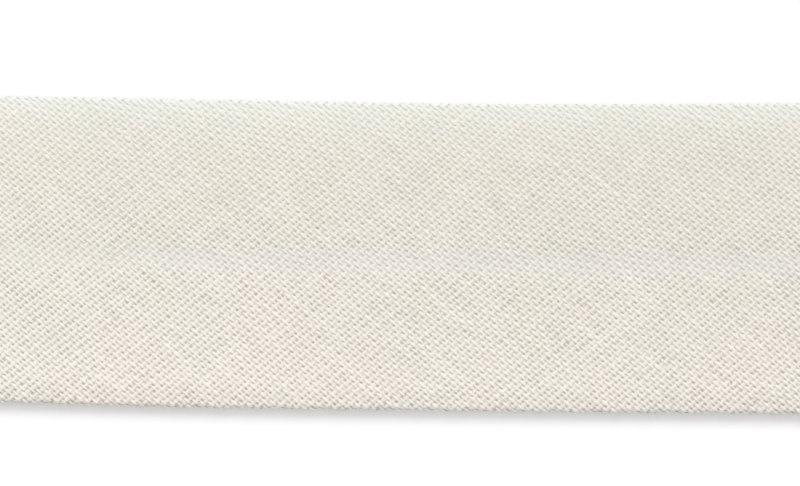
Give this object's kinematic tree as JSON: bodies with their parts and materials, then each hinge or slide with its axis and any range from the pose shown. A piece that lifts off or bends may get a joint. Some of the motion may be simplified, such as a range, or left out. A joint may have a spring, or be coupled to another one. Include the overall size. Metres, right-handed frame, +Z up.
{
  "type": "bias tape length",
  "caption": "Flat length of cream cotton bias tape, woven cloth with both long edges turned under, for binding or facing a fabric edge.",
  "frame": {"origin": "centre of the tape's footprint, on the surface that it lies on", "axes": "+X along the tape, +Y towards its upper edge, +Z up, out of its right side"},
  "size_m": [0.1, 0.0253, 0.0026],
  "materials": {
    "cream_cotton": "matt plain-woven cotton, unbleached cream"
  },
  "bodies": {
    "root": {"bias_tape": "cream_cotton"}
  },
  "joints": []
}
